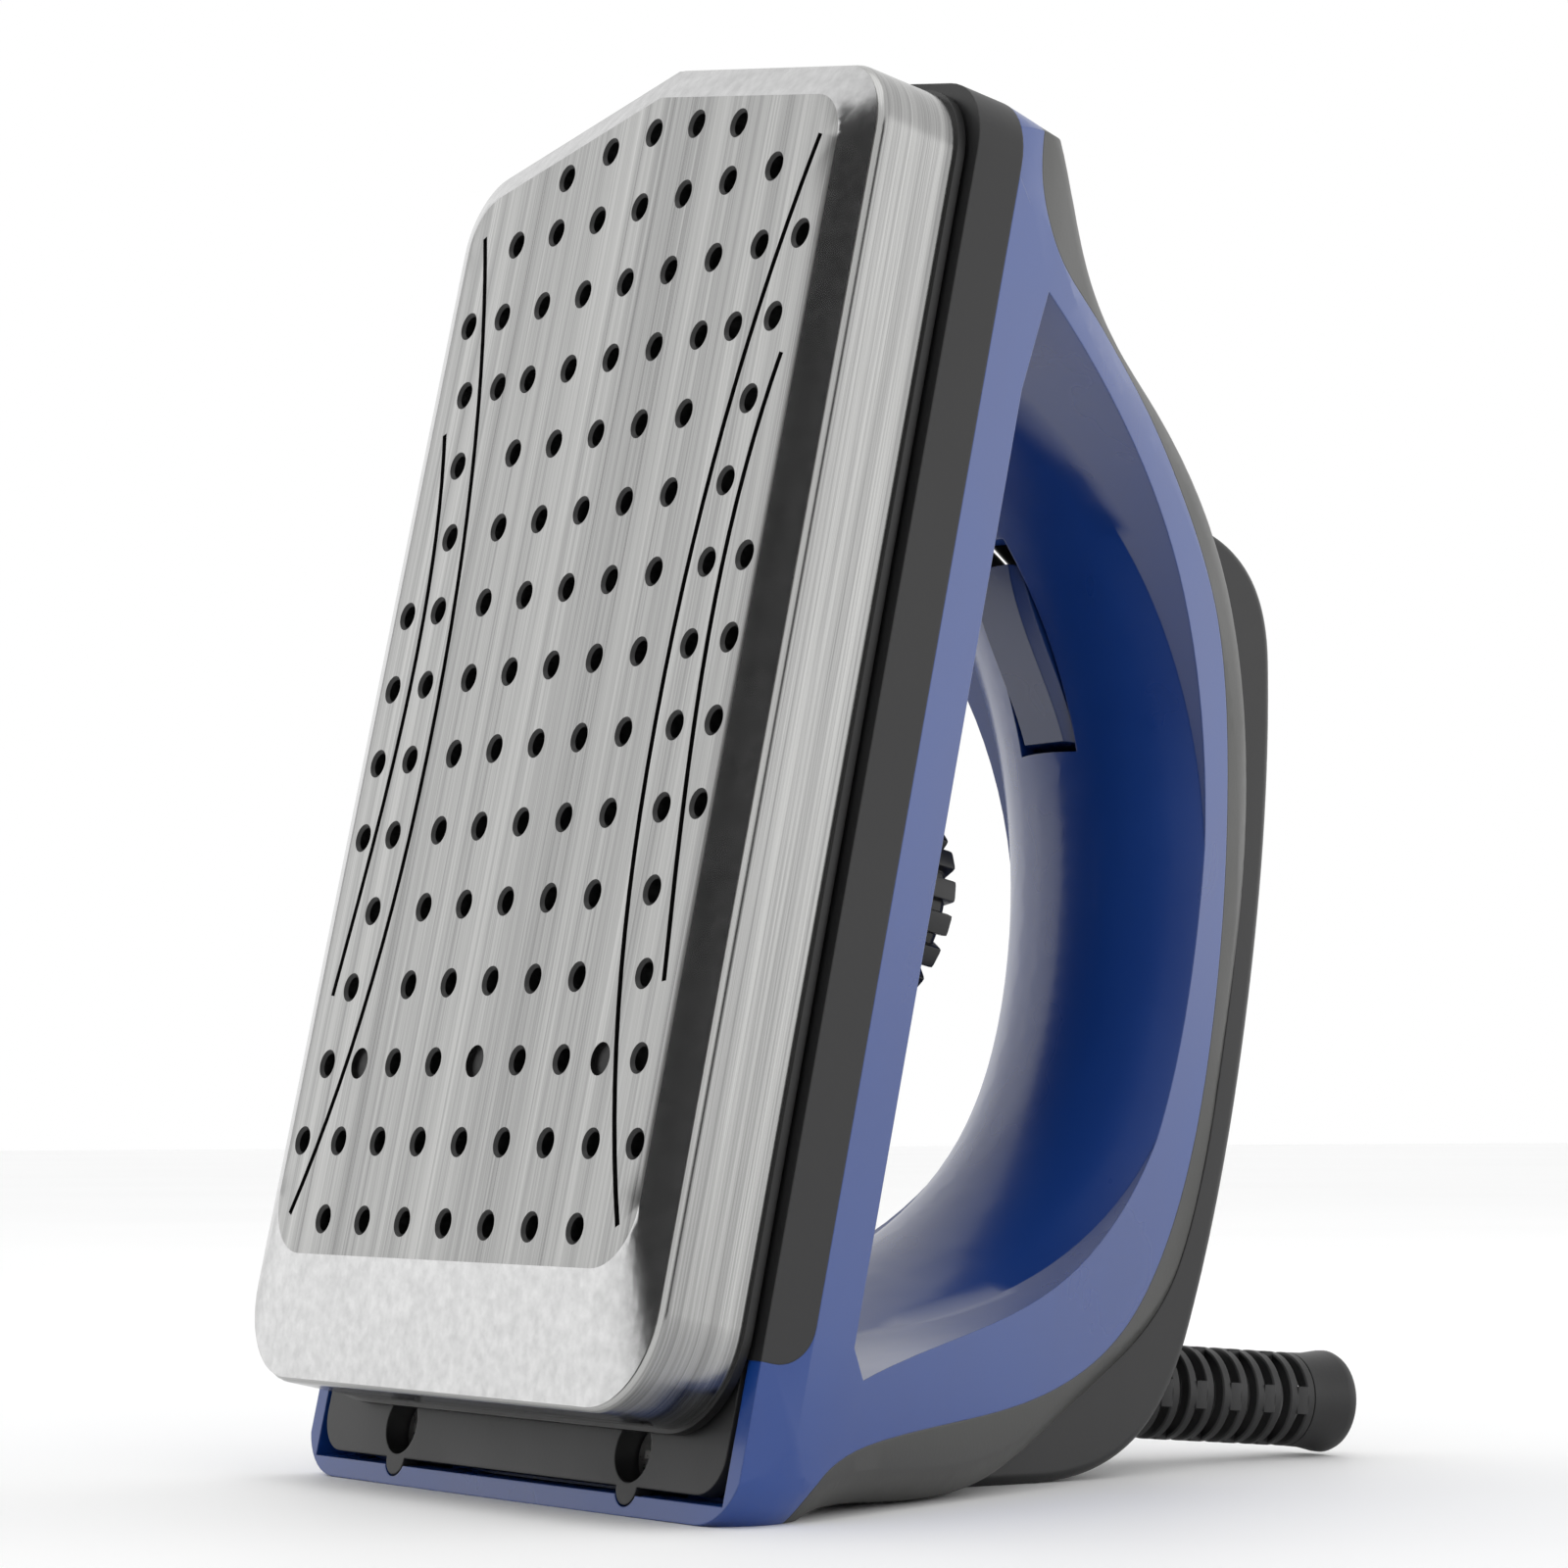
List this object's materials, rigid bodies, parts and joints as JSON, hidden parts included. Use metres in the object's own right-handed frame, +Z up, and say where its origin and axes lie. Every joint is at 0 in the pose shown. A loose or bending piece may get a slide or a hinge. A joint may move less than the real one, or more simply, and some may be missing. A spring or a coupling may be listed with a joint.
{
  "type": "steam iron",
  "caption": "Steam-station clothes iron standing on its heel: perforated steel sole, closed handle loop, temperature dial, steam trigger and slotted cord guard.",
  "frame": {"origin": "middle of the bounding box in X and Y, on the floor the iron stands on", "axes": "+Z up, +X across the iron, -Y the way the sole plate faces (the sole leans back 12.3 degrees)"},
  "size_m": [0.12, 0.1712, 0.2145],
  "materials": {
    "sole_steel": "brushed",
    "screw_steel": "satin",
    "screw_black": "satin",
    "cast_aluminium": "cast",
    "lid_steel": "satin",
    "gasket_rubber": "matte",
    "element_steel": "satin",
    "tab_brass": "satin",
    "shield_black": "satin",
    "base_black": "fine grain",
    "body_blue": "semi-gloss",
    "cover_grey": "satin",
    "housing_black": "satin",
    "panel_black": "gloss",
    "lens_amber": "clear",
    "lamp_glass": "clear",
    "dial_black": "satin",
    "mark_white": "gloss",
    "thermostat_brown": "matte",
    "hose_rubber": "matte",
    "wire_white": "matte",
    "block_white": "matte",
    "trigger_blue": "semi-gloss",
    "guard_black": "satin"
  },
  "bodies": {
    "iron": {"sole_plate": "sole_steel", "sole_screws": "screw_steel", "sole_casting": "cast_aluminium", "heating_element": "element_steel", "element_terminals": "tab_brass", "chamber_gasket": "gasket_rubber", "chamber_lid": "lid_steel", "lid_screws": "screw_steel", "heat_shield": "shield_black", "base_frame": "base_black", "frame_screws": "screw_steel", "heel_screws": "screw_steel", "body_shell": "body_blue", "handle_cover": "cover_grey", "rear_housing": "housing_black", "housing_screws": "screw_black", "control_panel": "panel_black", "pilot_lens": "lens_amber", "pilot_lamp": "lamp_glass", "thermostat_bracket": "lid_steel", "thermostat_body": "thermostat_brown", "thermal_fuse": "lid_steel", "steam_inlet": "tab_brass", "steam_hose": "hose_rubber", "mains_wires": "wire_white", "terminal_block": "block_white", "trigger_pin": "lid_steel", "trigger_spring": "lid_steel", "microswitch": "thermostat_brown", "cord_clamp": "base_black", "clamp_screws": "screw_steel", "cord_guard": "guard_black"},
    "dial_knob": {"dial": "dial_black", "dial_mark": "mark_white", "thermostat_shaft": "lid_steel"},
    "trigger": {"steam_trigger": "trigger_blue"},
    "plunger": {"switch_plunger": "block_white"}
  },
  "joints": [
    {"name": "dial_turn", "type": "hinge", "parent": "iron", "child": "dial_knob", "pos_m": [0, -0.0108, 0.08878], "axis": [0, 0.977, -0.2134], "range_deg": [0, 270]},
    {"name": "trigger_press", "type": "hinge", "parent": "iron", "child": "trigger", "pos_m": [0, 0.03303, 0.11605], "axis": [-1, 0, 0], "range_deg": [0, 6], "stiffness_Nm_per_rad": 0.3, "springref_deg": -8.59, "deforming": ["trigger_spring"]},
    {"name": "plunger_slide", "type": "slide", "parent": "iron", "child": "plunger", "axis": [0, 0.977, -0.2134], "range_m": [0, 0.0018]}
  ],
  "couplings": [
    {"joint": "plunger_slide", "follows": "trigger_press", "m_per_rad": 0.016}
  ]
}
